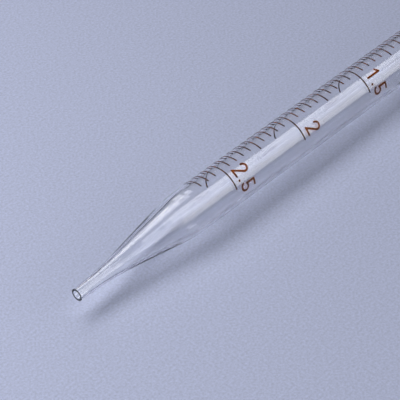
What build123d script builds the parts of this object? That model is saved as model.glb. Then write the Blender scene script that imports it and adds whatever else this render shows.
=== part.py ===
"""Graduated glass pipette of 3 mL, lying on a bench as one straight tube drawn down to a jet.

The pieces are the glass tube and the scale fired onto its outside: short lines every 0.05 mL,
longer ones half-way between the numbers, long ones at the numbers, and the numbers themselves.
The scale counts up from 0 near the mouth towards the jet, and its last line stands just above
the shoulder, because the full capacity is reached only when the jet has emptied.

Everything is drawn in the tube's own frame, with x along the axis from the jet's end to the mouth.
lay_down() then puts it in the part's frame: the tube lies along X on z = 0, with the origin at
mid-length under the axis. Angles round the tube are measured from straight up, towards -Y.
Lengths are in millimetres, angles in degrees and volumes in millilitres.
"""

from build123d import *
import os
from math import acos, atan2, cos, degrees, hypot, pi, radians, sin

# The tube
TUBE_BORE = 6.35
TUBE_WALL = 0.575
PLAIN_TOP = 39.9          # from the 0 line to the mouth
MOUTH_POLISH = 0.24       # fire-polished rounding of both edges of the mouth

# The drawn end: a short straight jet, a flare, a cone and a rounded shoulder
JET_BORE = 1.40
JET_WALL = 0.33
JET_LAND = 0.6
JET_POLISH = 0.03
FLARE_RADIUS = 58.0
SHOULDER_RADIUS = 25.0
CONE_ANGLE = 9.3
SHOULDER_THICKENING = 1.4  # how much further up the bore's own shoulder ends

# The scale
NUMBERS = ("0", "0.5", "1", "1.5", "2", "2.5")
NUMBER_STEP = 0.5
LINES_PER_NUMBER = 10
LINES_PER_HALF = 5
LINES_BELOW_LAST_NUMBER = 3
SCALE_START = 2.45        # from the shoulder up to the last line
ENAMEL = 0.04             # thickness of the fired enamel
LINE_WIDTH = 0.25
SCALE_FACING = -29.0      # where the middle of every line lies
SHORT_SPAN = 69.0         # angles that the three kinds of line cover
HALF_SPAN = 92.0
LONG_SPAN = 185.0

# The numbers, whose sizes are those of a stroke's middle line
NUMBER_FACING = 48.5
NUMBER_GAP = 0.8          # from a line's edge to the foot of its number
DIGIT_HEIGHT = 2.62
DIGIT_WIDTH = 1.25
STROKE = 0.36
DIGIT_GAP = 0.34          # between the outlines of neighbouring characters
POINT_SIZE = 0.42

TUBE_RADIUS = TUBE_BORE / 2 + TUBE_WALL
JET_RADIUS = JET_BORE / 2 + JET_WALL
BORE_AREA = pi * TUBE_BORE**2 / 4
CUBIC_MM = 1000.0         # in one millilitre
DIVISION = NUMBER_STEP / LINES_PER_NUMBER
LINE_COUNT = LINES_PER_NUMBER * (len(NUMBERS) - 1) + LINES_BELOW_LAST_NUMBER + 1
DIVISION_LENGTH = DIVISION * CUBIC_MM / BORE_AREA


def drawn_run(rise):
    """Length along the axis in which flare, cone and shoulder together rise by this much."""
    arcs = FLARE_RADIUS + SHOULDER_RADIUS
    angle = radians(CONE_ANGLE)
    cone = (rise - arcs * (1 - cos(angle))) / sin(angle)
    return arcs * sin(angle) + cone * cos(angle)


def cone_angle_for(run, rise):
    """Angle of the cone, in radians, with which they rise this much over this run."""
    arcs = FLARE_RADIUS + SHOULDER_RADIUS
    return atan2(run, arcs - rise) - acos(arcs / hypot(run, arcs - rise))


SHOULDER_END = JET_LAND + drawn_run(TUBE_RADIUS - JET_RADIUS)
BORE_SHOULDER_END = SHOULDER_END + SHOULDER_THICKENING
LAST_LINE = SHOULDER_END + SCALE_START
ZERO_LINE = LAST_LINE + (LINE_COUNT - 1) * DIVISION_LENGTH
TUBE_LENGTH = ZERO_LINE + PLAIN_TOP


def drawn_line(small, large, end):
    """Half the outline of the drawn end, between two radii, from the jet's end to x = end."""
    angle = cone_angle_for(end - JET_LAND, large - small)
    flare_end = (JET_LAND + FLARE_RADIUS * sin(angle), small + FLARE_RADIUS * (1 - cos(angle)))
    shoulder_start = (end - SHOULDER_RADIUS * sin(angle), large - SHOULDER_RADIUS * (1 - cos(angle)))
    return [
        Line((0, small), (JET_LAND, small)),
        TangentArc((JET_LAND, small), flare_end, tangent=(1, 0)),
        Line(flare_end, shoulder_start),
        TangentArc(shoulder_start, (end, large), tangent=(cos(angle), sin(angle))),
    ]


def section(*parts):
    """The flat face inside a closed outline."""
    return make_face(Wire([edge for part in parts for edge in part.edges()]))


def outline(*points):
    """Straight lines from point to point."""
    return Polyline(*points)


def glass_tube():
    """The tube's wall, turned from its section, with its two ends fire-polished."""
    wall = section(
        *drawn_line(JET_RADIUS, TUBE_RADIUS, SHOULDER_END),
        outline(
            (SHOULDER_END, TUBE_RADIUS),
            (TUBE_LENGTH, TUBE_RADIUS),
            (TUBE_LENGTH, TUBE_BORE / 2),
            (BORE_SHOULDER_END, TUBE_BORE / 2),
        ),
        *drawn_line(JET_BORE / 2, TUBE_BORE / 2, BORE_SHOULDER_END),
        outline((0, JET_BORE / 2), (0, JET_RADIUS)),
    )
    mouth = wall.vertices().filter_by(lambda corner: corner.X > TUBE_LENGTH - 0.001)
    wall = fillet(mouth, min(MOUTH_POLISH, 0.45 * TUBE_WALL))
    jet = wall.vertices().filter_by(lambda corner: corner.X < 0.001)
    wall = fillet(jet, min(JET_POLISH, 0.45 * JET_WALL))
    return revolve(wall, Axis.X)


def volume_to_jet():
    """What the bore holds, in millilitres, from the last line down to the jet's end."""
    end = BORE_SHOULDER_END
    core = section(
        *drawn_line(JET_BORE / 2, TUBE_BORE / 2, end),
        outline((end, TUBE_BORE / 2), (end, 0), (0, 0), (0, JET_BORE / 2)),
    )
    return (revolve(core, Axis.X).volume + (LAST_LINE - end) * BORE_AREA) / CUBIC_MM


def scale_line(n, span):
    """Line n of the scale: a thin band of enamel part of the way round the tube."""
    place = ZERO_LINE - n * DIVISION_LENGTH
    across = Pos(place, TUBE_RADIUS + ENAMEL / 2) * Rectangle(LINE_WIDTH, ENAMEL)
    band = revolve(across, Axis.X, revolution_arc=span)
    # It starts on +Y, a quarter turn short of straight up.
    return Rot(90 + SCALE_FACING - span / 2, 0, 0) * band


def line_kind(n):
    """Whether line n stands at a number, half-way between two, or neither."""
    if n % LINES_PER_NUMBER == 0:
        return "long"
    return "half" if n % LINES_PER_HALF == 0 else "short"


def stroke_middles(digit):
    """Middle lines of a digit's strokes: its foot is at y = 0 and its middle at x = 0."""
    half = DIGIT_WIDTH / 2
    top = DIGIT_HEIGHT
    if digit == "0":
        low, high = half, top - half
        return [
            Line((-half, low), (-half, high)),
            ThreePointArc((-half, high), (0, top), (half, high)),
            Line((half, high), (half, low)),
            ThreePointArc((half, low), (0, 0), (-half, low)),
        ]
    if digit == "1":
        stem = 0.2 * half
        return [
            Line((-0.7 * half, top - 0.8 * half), (stem, top)),
            Line((stem, top), (stem, 0)),
        ]
    if digit == "2":
        centre = top - half
        leave = (half * cos(radians(40)), centre - half * sin(radians(40)))
        return [
            ThreePointArc((-half, centre), (0, top), leave),
            Line(leave, (-half, 0)),
            Line((-half, 0), (half, 0)),
        ]
    if digit == "5":
        start = (-half * cos(radians(50)), half + half * sin(radians(50)))
        end = (-half * cos(radians(20)), half - half * sin(radians(20)))
        return [
            Line((0.9 * half, top), (start[0], top)),
            Line((start[0], top), start),
            ThreePointArc(start, (half, half), end),
        ]
    raise ValueError(digit)


def character_shape(character):
    """A character's flat shape: round-ended strokes of one width, or a round point."""
    if character == ".":
        return Pos(0, (POINT_SIZE - STROKE) / 2) * Circle(POINT_SIZE / 2)
    middles = stroke_middles(character)
    shape = Sketch() + [trace(middle, STROKE) for middle in middles]
    ends = [end for middle in middles for end in (middle @ 0, middle @ 1)]
    return shape + [Pos(end) * Circle(STROKE / 2) for end in ends]


def character_places(text):
    """How far round the tube the middle of each character lies from the middle of its number."""
    widths = [POINT_SIZE if character == "." else DIGIT_WIDTH + STROKE for character in text]
    whole = sum(widths) + DIGIT_GAP * (len(text) - 1)
    starts = [sum(widths[:n]) + DIGIT_GAP * n for n in range(len(text))]
    return [start + width / 2 - whole / 2 for start, width in zip(starts, widths)]


def number(n):
    """Number n of the scale as separate enamel characters on the tube, above its long line.

    Each character is pushed straight out from the axis and trimmed to the enamel's thickness.
    It reads upright with the jet down: its up is +X, and its right is towards -Y from the top.
    """
    line_place = ZERO_LINE - n * LINES_PER_NUMBER * DIVISION_LENGTH
    foot = line_place + LINE_WIDTH / 2 + NUMBER_GAP + STROKE / 2
    skin = Cylinder(TUBE_RADIUS + ENAMEL, 3 * DIGIT_HEIGHT) - Cylinder(TUBE_RADIUS, 4 * DIGIT_HEIGHT)
    skin = Pos(foot, 0, 0) * Rot(0, 90, 0) * skin
    page = Plane(origin=(foot, 0, 0), x_dir=(0, -1, 0), z_dir=(0, 0, 1))
    characters = []
    for character, place in zip(NUMBERS[n], character_places(NUMBERS[n])):
        block = extrude(page * character_shape(character), TUBE_RADIUS + 1, dir=(0, 0, 1))
        turn = NUMBER_FACING + degrees(place / TUBE_RADIUS)
        characters.append((Rot(turn, 0, 0) * block) & skin)
    return characters


def lay_down(shape):
    """From the tube's own frame to the part's: lying on z = 0, mid-length at the origin."""
    return Pos(-TUBE_LENGTH / 2, 0, TUBE_RADIUS) * shape


def write(name, shapes):
    """One STEP file for a node, with each of its solids."""
    solids = [solid for shape in shapes for solid in lay_down(shape).solids()]
    node = solids[0] if len(solids) == 1 else Compound(children=solids)
    export_step(node, f"parts/{name}.step")


os.makedirs("parts", exist_ok=True)
write("glass_tube", [glass_tube()])
for kind, span in (("short", SHORT_SPAN), ("half", HALF_SPAN), ("long", LONG_SPAN)):
    lines = [scale_line(n, span) for n in range(LINE_COUNT) if line_kind(n) == kind]
    write(f"{kind}_lines", lines)
for n, text in enumerate(NUMBERS):
    write("number_" + text.replace(".", "_"), number(n))

last_volume = (LINE_COUNT - 1) * DIVISION
print("length", round(TUBE_LENGTH, 3), "outside diameter", round(2 * TUBE_RADIUS, 3))
print("shoulder ends at", round(SHOULDER_END, 3), "and the bore's at", round(BORE_SHOULDER_END, 3))
print("last line at", round(LAST_LINE, 3), "zero line at", round(ZERO_LINE, 3))
print("capacity", round(last_volume + volume_to_jet(), 3), "mL")
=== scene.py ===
import math

import bpy
import numpy as np
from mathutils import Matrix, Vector


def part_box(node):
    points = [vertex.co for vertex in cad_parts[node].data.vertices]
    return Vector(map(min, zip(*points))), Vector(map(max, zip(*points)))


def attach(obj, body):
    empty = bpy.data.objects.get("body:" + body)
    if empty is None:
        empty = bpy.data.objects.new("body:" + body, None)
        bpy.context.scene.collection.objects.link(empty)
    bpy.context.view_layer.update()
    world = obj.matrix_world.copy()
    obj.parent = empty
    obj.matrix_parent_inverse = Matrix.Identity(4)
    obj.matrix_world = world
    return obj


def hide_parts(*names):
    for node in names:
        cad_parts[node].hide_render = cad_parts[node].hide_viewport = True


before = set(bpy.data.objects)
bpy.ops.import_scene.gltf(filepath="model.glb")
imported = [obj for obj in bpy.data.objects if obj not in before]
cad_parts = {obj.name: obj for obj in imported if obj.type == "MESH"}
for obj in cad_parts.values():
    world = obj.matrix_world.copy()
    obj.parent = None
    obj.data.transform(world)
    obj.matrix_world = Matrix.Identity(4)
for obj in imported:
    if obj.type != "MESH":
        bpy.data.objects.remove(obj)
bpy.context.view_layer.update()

# A clear glass measuring pipette lying on a pale bench, with its brown fired scale facing up.
# Lengths are in millimetres along the tube's own frame until place() turns them into metres in
# the row's frame: x runs from the jet's end to the mouth, and angles round the tube are measured
# from straight up, towards -Y.

MM = 0.001

# ---- sizes ---------------------------------------------------------------------------------

tube_lo, tube_hi = (np.array(corner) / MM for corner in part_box("glass_tube"))
TUBE_LENGTH = tube_hi[0] - tube_lo[0]
TUBE_RADIUS = 3.75
BORE_RADIUS = 3.175
JET_RADIUS = 1.03
JET_BORE_RADIUS = 0.70
JET_LAND = 0.6
FLARE_RADIUS = 58.0
SHOULDER_RADIUS = 25.0
SHOULDER_END = 23.961
BORE_SHOULDER_END = 25.361
MOUTH_POLISH = 0.24
JET_POLISH = 0.03
JET_DROOP = 0.34          # how far the hand-drawn jet leaves the tube's own axis
DROOP_ANGLE = 126.4       # and which way, round from straight up

ZERO_LINE = 110.088
DIVISION_LENGTH = 1000 * 0.05 / (math.pi * BORE_RADIUS**2)
LINE_COUNT = 54
LINE_WIDTH = 0.25
SCALE_FACING = -29.0
SPANS = {"short": 69.0, "half": 92.0, "long": 185.0}

NUMBERS = ("0", "0.5", "1", "1.5", "2", "2.5")
NUMBER_FACING = 48.5
NUMBER_GAP = 0.8
DIGIT_HEIGHT = 2.62
DIGIT_WIDTH = 1.25
STROKE = 0.36
DIGIT_GAP = 0.34
POINT_SIZE = 0.42
ENAMEL = 0.04             # how proud the enamel stands
ENAMEL_BITE = 0.015       # how far it has sunk into the glass
EDGE_ROUNDING = 0.35      # share of a stroke's half width over which its edge rises
LINE_DEPTH = 1.0          # how dark the enamel is on the lines
NUMBER_DEPTH = 0.0        # and on the numbers

GLASS_IOR = 1.474         # borosilicate glass
PAINTED_FALLOFF_LIMITS = (-0.35, 0.25)  # least and greatest power of e that the bench's colour is multiplied by, for its painted light falloff
LIGHT_DISTANCE = 1.0      # from the tube's axis to every softbox, in metres


# ---- meshes --------------------------------------------------------------------------------

def place(x, across, up):
    """Points from the tube's own frame, in mm, to the row's frame, in metres."""
    return np.stack([x + tube_lo[0], across, up + TUBE_RADIUS], -1) * MM


def round_the_tube(x, radius, angle):
    """Points at a distance from the axis, at an angle in radians from straight up towards -Y."""
    return place(x, -radius * np.sin(angle), radius * np.cos(angle))


def make_piece(name, points, faces, material, smooth=True):
    """A mesh object from an array of points and an array of four-cornered faces."""
    mesh = bpy.data.meshes.new(name)
    mesh.from_pydata(points.reshape(-1, 3).tolist(), [], faces.reshape(-1, faces.shape[-1]).tolist())
    mesh.validate()
    mesh.polygons.foreach_set("use_smooth", np.full(len(mesh.polygons), smooth))
    mesh.materials.append(material)
    mesh.update()
    piece = bpy.data.objects.new(name, mesh)
    bpy.context.scene.collection.objects.link(piece)
    return piece


def grid_faces(rows, columns, closed_rows=False, closed_columns=False):
    """Corner numbers of the faces of a grid of points, joined end to end where it is closed."""
    r = np.arange(rows if closed_rows else rows - 1)[:, None]
    c = np.arange(columns if closed_columns else columns - 1)[None, :]
    r_next, c_next = (r + 1) % rows, (c + 1) % columns
    corners = [r * columns + c, r * columns + c_next, r_next * columns + c_next, r_next * columns + c]
    return np.stack(np.broadcast_arrays(*corners), -1).reshape(-1, 4)


def drawn_radius(x, small, large, end):
    """Radius of the drawn end: level, then an arc that flares, a cone, and an arc that levels out.

    The cone's angle is the one at which both arcs and the cone just fit between the two radii.
    """
    run, rise = end - JET_LAND, large - small
    arcs = FLARE_RADIUS + SHOULDER_RADIUS
    angle = math.atan2(run, arcs - rise) - math.acos(arcs / math.hypot(run, arcs - rise))
    flare_end = JET_LAND + FLARE_RADIUS * math.sin(angle)
    shoulder_start = end - SHOULDER_RADIUS * math.sin(angle)
    flare_top = small + FLARE_RADIUS * (1 - math.cos(angle))
    along = np.clip(x - JET_LAND, 0, flare_end)
    on_flare = small + FLARE_RADIUS - np.sqrt(FLARE_RADIUS**2 - along**2)
    on_cone = flare_top + (x - flare_end) * math.tan(angle)
    back = np.clip(end - x, 0, SHOULDER_RADIUS)
    on_shoulder = large - SHOULDER_RADIUS + np.sqrt(SHOULDER_RADIUS**2 - back**2)
    stretches = [x <= JET_LAND, x <= flare_end, x <= shoulder_start, x <= end]
    return np.select(stretches, [np.full_like(x, small), on_flare, on_cone, on_shoulder], large)


def polished_corner(x, radius, size, first, last, count=9):
    """A quarter circle of points about (x, radius) between two directions given in degrees."""
    turn = np.radians(np.linspace(first, last, count))
    return np.stack([x + size * np.cos(turn), radius + size * np.sin(turn)], -1)


def tube_section():
    """The wall's closed outline: outside from jet to mouth, polished mouth, bore back, polished jet."""
    drawn = np.linspace(JET_POLISH, BORE_SHOULDER_END + 1.5, 120)
    body = np.linspace(BORE_SHOULDER_END + 1.5, TUBE_LENGTH - MOUTH_POLISH, 62)[1:-1]
    x = np.concatenate([drawn, body])
    outside = np.stack([x, drawn_radius(x, JET_RADIUS, TUBE_RADIUS, SHOULDER_END)], -1)
    bore = np.stack([x, drawn_radius(x, JET_BORE_RADIUS, BORE_RADIUS, BORE_SHOULDER_END)], -1)
    end = TUBE_LENGTH - MOUTH_POLISH
    return np.concatenate([
        outside,
        polished_corner(end, TUBE_RADIUS - MOUTH_POLISH, MOUTH_POLISH, 90, 0),
        polished_corner(end, BORE_RADIUS + MOUTH_POLISH, MOUTH_POLISH, 0, -90),
        bore[::-1],
        polished_corner(JET_POLISH, JET_BORE_RADIUS + JET_POLISH, JET_POLISH, -90, -180)[1:],
        polished_corner(JET_POLISH, JET_RADIUS - JET_POLISH, JET_POLISH, 180, 90)[:-1],
    ])


def droop(x):
    """How far the axis has left its line at x: the square of the distance from the shoulder."""
    return JET_DROOP * np.clip((SHOULDER_END - x) / SHOULDER_END, 0, 1) ** 2


def glass_tube(material, around=176):
    """The section turned about the axis, with the drawn end let down along droop()."""
    section = tube_section()
    x, radius = section[:, :1], section[:, 1:]
    angle = np.linspace(0, 2 * np.pi, around, endpoint=False)[None, :]
    away = math.radians(DROOP_ANGLE)
    across = -radius * np.sin(angle) - droop(x) * math.sin(away)
    up = radius * np.cos(angle) + droop(x) * math.cos(away)
    points = place(np.broadcast_to(x, across.shape), across, up)
    faces = grid_faces(len(section), around, closed_rows=True, closed_columns=True)
    return make_piece("glass_tube_wall", points, faces, material)


def line_points(x, span, across=11):
    """One fired line: flat on top with rounded edges, carried round the tube, with round ends.

    Across the line the height is half a superellipse of the fourth power, and in the last half
    width at each end the width shrinks as a quarter circle.
    """
    half = LINE_WIDTH / 2
    reach = math.radians(span / 2) * TUBE_RADIUS
    along = max(12, int(span / 3))
    cap = half * (1 - np.cos(np.linspace(0, np.pi / 2, 6)))
    middle = np.linspace(-reach + half, reach - half, along)[1:-1]
    s = np.concatenate([-reach + cap, middle, (reach - cap)[::-1]])
    past = np.clip(np.abs(s) - (reach - half), 0, half) / half
    width = half * np.sqrt(np.clip(1 - past**2, 0.0004, 1))
    turn = np.linspace(0, np.pi, across)
    level, rise = np.cos(turn), np.sin(turn)
    top = np.stack([-np.sign(level) * np.sqrt(np.abs(level)), np.sqrt(np.abs(rise))], -1)
    low = np.stack([np.linspace(1, -1, across)[1:-1], np.zeros(across - 2)], -1)
    ring = np.concatenate([top, low])
    angle = math.radians(SCALE_FACING) + s / TUBE_RADIUS
    height = (ENAMEL + ENAMEL_BITE) * ring[None, :, 1] * (width / half)[:, None]
    radius = TUBE_RADIUS - ENAMEL_BITE + height
    return round_the_tube(x + width[:, None] * ring[None, :, 0], radius, angle[:, None])


def scale_lines(kind, numbers, material):
    """All the lines of one kind as one piece, each closed by a face at either end."""
    points, faces, first = [], [], 0
    for n in numbers:
        line = line_points(ZERO_LINE - n * DIVISION_LENGTH, SPANS[kind])
        rows, columns = line.shape[:2]
        points.append(line.reshape(-1, 3))
        sides = grid_faces(rows, columns, closed_columns=True)
        faces += [(face + first)[::-1].tolist() for face in sides]
        faces.append((first + np.arange(columns)).tolist())
        faces.append((first + (rows - 1) * columns + np.arange(columns))[::-1].tolist())
        first += rows * columns
    mesh = bpy.data.meshes.new(f"{kind}_lines_enamel")
    mesh.from_pydata(np.concatenate(points).tolist(), [], faces)
    mesh.polygons.foreach_set("use_smooth", np.ones(len(mesh.polygons), bool))
    mesh.materials.append(material)
    mesh.update()
    piece = bpy.data.objects.new(mesh.name, mesh)
    bpy.context.scene.collection.objects.link(piece)
    return piece


def arc(centre, radius, first, last, count=24):
    """Points on a circle between two angles in degrees, counted anticlockwise from +x."""
    turn = np.radians(np.linspace(first, last, count))
    return np.stack([centre[0] + radius * np.cos(turn), centre[1] + radius * np.sin(turn)], -1)


def stroke_middles(digit):
    """Middle lines of a digit's strokes: its foot is at y = 0 and its middle at x = 0."""
    half, top = DIGIT_WIDTH / 2, DIGIT_HEIGHT
    if digit == "0":
        ring = np.concatenate([arc((0, top - half), half, 0, 180), arc((0, half), half, 180, 360)])
        return [np.concatenate([ring, ring[:1]])]
    if digit == "1":
        return [np.array([(-0.7 * half, top - 0.8 * half), (0.2 * half, top), (0.2 * half, 0)])]
    if digit == "2":
        return [np.concatenate([arc((0, top - half), half, 180, -40), [(-half, 0), (half, 0)]])]
    if digit == "5":
        bowl = arc((0, half), half, 130, -160)
        return [np.concatenate([[(0.9 * half, top), (bowl[0, 0], top)], bowl])]
    if digit == ".":
        place_of_point = (POINT_SIZE - STROKE) / 2
        return [np.array([(0, place_of_point), (0, place_of_point)])]
    raise ValueError(digit)


def nearest_on(points, lines):
    """For each point, the nearest point on any of the middle lines, and how far off it is.

    The foot of the perpendicular is clamped to each straight run, and the nearest run is kept.
    """
    starts = np.concatenate([line[:-1] for line in lines])
    runs = np.concatenate([np.diff(line, axis=0) for line in lines])
    lengths = np.maximum((runs**2).sum(-1), 1e-12)
    share = np.clip(((points[:, None] - starts) * runs).sum(-1) / lengths, 0, 1)
    feet = starts + share[..., None] * runs
    gaps = np.linalg.norm(points[:, None] - feet, axis=-1)
    best = gaps.argmin(1)
    every = np.arange(len(points))
    return feet[every, best], gaps[every, best]


def character(digit, cell=0.05):
    """Flat points, heights and faces of one character, as a low dome over a square grid.

    The grid's cells that touch a stroke are kept, their outer corners are pulled in to the
    stroke's edge, and the height rises from that edge as a quarter ellipse to a flat top.
    """
    half = (POINT_SIZE if digit == "." else STROKE) / 2
    lines = stroke_middles(digit)
    low = np.min([line.min(0) for line in lines], 0) - half - 0.6 * cell
    high = np.max([line.max(0) for line in lines], 0) + half + cell
    xs, ys = np.arange(low[0], high[0], cell), np.arange(low[1], high[1], cell)
    flat = np.stack(np.meshgrid(xs, ys, indexing="ij"), -1).reshape(-1, 2)
    feet, gaps = nearest_on(flat, lines)
    faces = grid_faces(len(xs), len(ys))
    faces = faces[(gaps[faces] < half - 0.15 * cell).any(1)]
    outer = gaps > half - 0.3 * cell
    pulled = feet + (flat - feet) * (half / np.maximum(gaps, 1e-9))[:, None]
    flat = np.where(outer[:, None], pulled, flat)
    depth = np.where(outer, 0, 1 - gaps / half)
    height = np.sqrt(1 - (1 - np.clip(depth / EDGE_ROUNDING, 0, 1)) ** 2)
    used, faces = np.unique(faces, return_inverse=True)
    return flat[used], height[used], outer[used], faces.reshape(-1, 4)


def number(text, n, material):
    """One number as one piece: each character's dome, closed below by the same grid laid flat."""
    widths = [POINT_SIZE if mark == "." else DIGIT_WIDTH + STROKE for mark in text]
    whole = sum(widths) + DIGIT_GAP * (len(text) - 1)
    foot = ZERO_LINE - 10 * n * DIVISION_LENGTH + LINE_WIDTH / 2 + NUMBER_GAP + STROKE / 2
    points, faces, first, start = [], [], 0, -whole / 2
    for mark, width in zip(text, widths):
        flat, height, edge, cells = character(mark)
        angle = math.radians(NUMBER_FACING) + (flat[:, 0] + start + width / 2) / TUBE_RADIUS
        base = TUBE_RADIUS - ENAMEL_BITE
        top = round_the_tube(foot + flat[:, 1], base + (ENAMEL + ENAMEL_BITE) * height, angle)
        low = round_the_tube(foot + flat[:, 1], np.full(len(flat), base), angle)
        # The two grids share their points along the stroke's edge.
        below = np.where(edge, np.arange(len(flat)), len(flat) + np.cumsum(~edge) - 1)
        points += [top, low[~edge]]
        faces += [cells + first, below[cells][:, ::-1] + first]
        first += len(flat) + int((~edge).sum())
        start += width + DIGIT_GAP
    name = "number_" + text.replace(".", "_") + "_enamel"
    return make_piece(name, np.concatenate(points), np.concatenate(faces), material)


# ---- materials -----------------------------------------------------------------------------

class Value:
    """A shader socket that adds Math nodes when it is used in a sum, difference or product."""

    def __init__(self, paint, socket):
        self.paint, self.socket = paint, socket

    def math(self, operation, *others):
        sockets = dict(enumerate((self, *others)))
        return self.paint.node("ShaderNodeMath", {"operation": operation}, sockets)

    def __add__(self, other): return self.math("ADD", other)
    def __radd__(self, other): return self.math("ADD", other)
    def __mul__(self, other): return self.math("MULTIPLY", other)
    def __rmul__(self, other): return self.math("MULTIPLY", other)
    def __sub__(self, other): return self.math("SUBTRACT", other)
    def __rsub__(self, other): return self.math("MULTIPLY_ADD", -1.0, other)


class Paint:
    """One material, whose nodes all come from node()."""

    def __init__(self, name):
        self.material = bpy.data.materials.new(name)
        self.material.use_nodes = True
        self.tree = self.material.node_tree
        self.tree.nodes.clear()

    def node(self, kind, settings=None, values=None, out=0):
        """Adds a node, sets it up, fills its sockets, and gives back one of its outputs."""
        node = self.tree.nodes.new(kind)
        for key, value in (settings or {}).items():
            if key == "stops":
                stops = node.color_ramp.elements
                while len(stops) < len(value):
                    stops.new(0.5)
                for stop, (at, colour) in zip(stops, value):
                    stop.position = at
                    stop.color = colour
            else:
                setattr(node, key, value)
        for key, value in (values or {}).items():
            if isinstance(value, Value):
                self.tree.links.new(value.socket, node.inputs[key])
            else:
                node.inputs[key].default_value = value
        return Value(self, node.outputs[out]) if node.outputs else None

    def place(self):
        """Where a point is on the object, in metres."""
        return self.node("ShaderNodeTexCoord", out="Object")

    def stretched(self, scale):
        """The same, with each axis multiplied by a number."""
        return self.node("ShaderNodeMapping", {}, {"Vector": self.place(), "Scale": scale})

    def noise(self, where, scale, detail=2.0, roughness=0.5):
        values = {"Vector": where, "Scale": scale, "Detail": detail, "Roughness": roughness}
        return self.node("ShaderNodeTexNoise", {}, values, out="Fac")

    def ramp(self, factor, *stops):
        """A grey or coloured ramp, through stops given as (position, value or colour)."""
        stops = [(at, (c, c, c, 1) if isinstance(c, float) else (*c, 1)) for at, c in stops]
        return self.node("ShaderNodeValToRGB", {"stops": stops}, {"Fac": factor})

    def finish(self, shader):
        self.node("ShaderNodeOutputMaterial", {}, {"Surface": shader})
        return self.material


def clear_glass():
    """Drawn laboratory glass: clear, with faint draw lines along the tube and a few dull smears."""
    paint = Paint("clear_glass")
    draw_lines = paint.noise(paint.stretched((12, 260, 260)), 1.0, 2.0)
    smears = paint.noise(paint.stretched((60, 140, 140)), 1.0, 3.0)
    ripple = {"Height": draw_lines, "Strength": 0.01, "Distance": 0.00002}
    bump = paint.node("ShaderNodeBump", {}, ripple)
    shader = paint.node("ShaderNodeBsdfPrincipled", {}, {
        "Base Color": (1.0, 1.0, 1.0, 1),
        "Roughness": paint.ramp(smears, (0.6, 0.0), (0.9, 0.012)),
        "Transmission Weight": 1.0,
        "IOR": GLASS_IOR,
        "Normal": bump,
    })
    return paint.finish(shader)


def brown_enamel():
    """Brown enamel, nearly black where it is darkest and orange-brown where light comes through it.

    enamel_depth is kept on each point of a piece, from 0 for the palest to 1 for the darkest.
    """
    paint = Paint("brown_enamel")
    dark = paint.node("ShaderNodeAttribute", {"attribute_name": "enamel_depth"}, out="Fac")
    patches = paint.noise(paint.place(), 1400.0, 3.0, 0.6)
    grain = paint.noise(paint.place(), 9000.0, 2.0)
    bump = paint.node("ShaderNodeBump", {}, {"Height": grain, "Strength": 0.1, "Distance": 0.000004})
    near_black, orange_brown = (0.06, 0.014, 0.003), (0.42, 0.115, 0.014)
    colour = paint.ramp(patches + 0.08 - dark * 0.27, (0.30, near_black), (0.72, orange_brown))
    body = paint.node("ShaderNodeBsdfPrincipled", {}, {
        "Base Color": colour,
        "Roughness": paint.ramp(grain, (0.3, 0.08), (0.7, 0.16)),
        "Specular IOR Level": 0.2,
        "Normal": bump,
    })
    through = paint.node("ShaderNodeBsdfTransparent", {}, {"Color": (0.72, 0.34, 0.10, 1)})
    cover = 0.58 + dark * 0.42 - patches * 0.3
    return paint.finish(paint.node("ShaderNodeMixShader", {}, {0: cover, 1: through, 2: body}))


def bench_card():
    """Matte blue-grey card with a fine tooth, with painted light falloff: paler towards the jet and
    further back.

    Its colour is multiplied by e to a power that falls along X and rises along Y, within limits, as
    painted light and shade rather than the card's own colour. Its speckled tone is darker in the
    tooth's hollows and paler on its tops, partly painted shade.
    """
    paint = Paint("bench_card")
    tooth = paint.noise(paint.place(), 2600.0, 3.0, 0.6)
    cloud = paint.noise(paint.place(), 6.0, 2.0)
    # The card's speckled tone, made darker in the tooth's hollows as painted shade and paler on its
    # tops as painted light.
    hollow_tone_and_shade, raised_tone_and_light = (0.33, 0.36, 0.49), (0.50, 0.54, 0.735)
    colour = paint.ramp(tooth * 0.85 + cloud * 0.15, (0.25, hollow_tone_and_shade), (0.75, raised_tone_and_light))
    where = {"Vector": paint.place()}
    x, y = (paint.node("ShaderNodeSeparateXYZ", {}, where, out=axis) for axis in (0, 1))
    least, most = PAINTED_FALLOFF_LIMITS
    # Painted light falloff: the card's colour is scaled up towards the jet and the back and down
    # towards +X and -Y.
    painted_light_falloff = (x * -2.6 + y * 1.1).math("MAXIMUM", least).math("MINIMUM", most).math("EXPONENT")
    scaled = {"Vector": colour, "Scale": painted_light_falloff}
    falloff_painted_colour = paint.node("ShaderNodeVectorMath", {"operation": "SCALE"}, scaled)
    bump = paint.node("ShaderNodeBump", {}, {"Height": tooth, "Strength": 0.3, "Distance": 0.0001})
    shader = paint.node("ShaderNodeBsdfPrincipled", {}, {
        "Base Color": falloff_painted_colour,
        "Roughness": 0.75,
        "Specular IOR Level": 0.3,
        "Normal": bump,
    })
    return paint.finish(shader)


# ---- the object ----------------------------------------------------------------------------

def lay_enamel(piece, depth):
    """Keeps on each point how dark the enamel is there, from 0 to 1."""
    layer = piece.data.attributes.new("enamel_depth", "FLOAT", "POINT")
    layer.data.foreach_set("value", np.full(len(piece.data.vertices), depth, np.float32))
    return piece


def add(piece, node):
    """Lets a piece stand for a CAD node, whose own mesh is hidden, and ride on the one body."""
    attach(piece, "root")
    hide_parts(node)


glass, enamel = clear_glass(), brown_enamel()
add(glass_tube(glass), "glass_tube")

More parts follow.
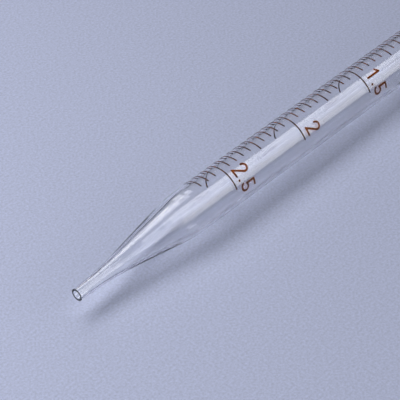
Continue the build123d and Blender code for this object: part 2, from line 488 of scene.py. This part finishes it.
every_line = np.arange(LINE_COUNT)
kinds = {
    "long": every_line[every_line % 10 == 0],
    "half": every_line[every_line % 10 == 5],
    "short": every_line[every_line % 5 != 0],
}
for kind, numbers in kinds.items():
    lines = lay_enamel(scale_lines(kind, numbers, enamel), LINE_DEPTH)
    add(lines, f"{kind}_lines")
for n, text in enumerate(NUMBERS):
    characters = lay_enamel(number(text, n, enamel), NUMBER_DEPTH)
    add(characters, "number_" + text.replace(".", "_"))


# ---- bench, light and camera ---------------------------------------------------------------

def bench(size=3.0):
    """A level sheet of card under the tube."""
    corners = np.array([(-1, -1, 0), (1, -1, 0), (1, 1, 0), (-1, 1, 0)]) * size / 2
    sheet = make_piece("bench", corners, np.array([[0, 1, 2, 3]]), bench_card(), smooth=False)


def softbox(name, angle, reach, width, radiance):
    """A long softbox beside the tube: its face is parallel to X and looks at the tube's axis.

    angle is where it stands, in degrees round from straight up towards -Y. reach is where it
    begins and ends along X, in metres, and its power is radiance times pi times its area.
    """
    light = bpy.data.lights.new(name, "AREA")
    light.shape = "RECTANGLE"
    light.size, light.size_y = reach[1] - reach[0], width
    light.energy = radiance * math.pi * light.size * light.size_y
    lamp = bpy.data.objects.new(name, light)
    turn = math.radians(angle)
    away = Vector((0, -math.sin(turn), math.cos(turn)))
    lamp.location = away * LIGHT_DISTANCE + Vector((sum(reach) / 2, 0, 0))
    lamp.rotation_euler = (turn, 0, 0)
    bpy.context.scene.collection.objects.link(lamp)


def camera():
    """Looks along the tube from beyond its jet, about 43 degrees above the bench."""
    turn, tilt = math.radians(46.76), math.radians(42.78)
    look = Vector((math.cos(tilt) * math.sin(turn), math.cos(tilt) * math.cos(turn), -math.sin(tilt)))
    data = bpy.data.cameras.new("camera")
    data.sensor_width = 36.0
    data.lens = 188.04
    data.clip_start, data.clip_end = 0.01, 20.0
    eye = bpy.data.objects.new("camera", data)
    eye.location = Vector((-143.43 + tube_lo[0], -159.77, 220.19)) * MM
    eye.rotation_mode = "QUATERNION"
    eye.rotation_quaternion = look.to_track_quat("-Z", "Y")
    bpy.context.scene.collection.objects.link(eye)
    bpy.context.scene.camera = eye


bench()
softbox("back_softbox", -34.0, (-2.5, 0.37), 0.49, 4.3)
softbox("back_softbox_end", -47.0, (0.37, 0.5), 0.5, 4.3)
softbox("front_softbox_upper", 45.5, (0.2, 1.0), 0.37, 2.1)
softbox("front_softbox_lower", 67.0, (0.2, 1.0), 0.41, 3.1)
softbox("overhead_panel", 11.0, (0.56, 1.0), 0.4, 0.12)
camera()

scene = bpy.context.scene
world = bpy.data.worlds.new("room")
world.use_nodes = True
world.node_tree.nodes["Background"].inputs["Color"].default_value = (0.5, 0.5, 0.5, 1)
world.node_tree.nodes["Background"].inputs["Strength"].default_value = 0.06
scene.world = world
scene.view_settings.view_transform = "Standard"
scene.cycles.max_bounces = 32
scene.cycles.transmission_bounces = 32
scene.cycles.glossy_bounces = 12
scene.cycles.blur_glossy = 0.0
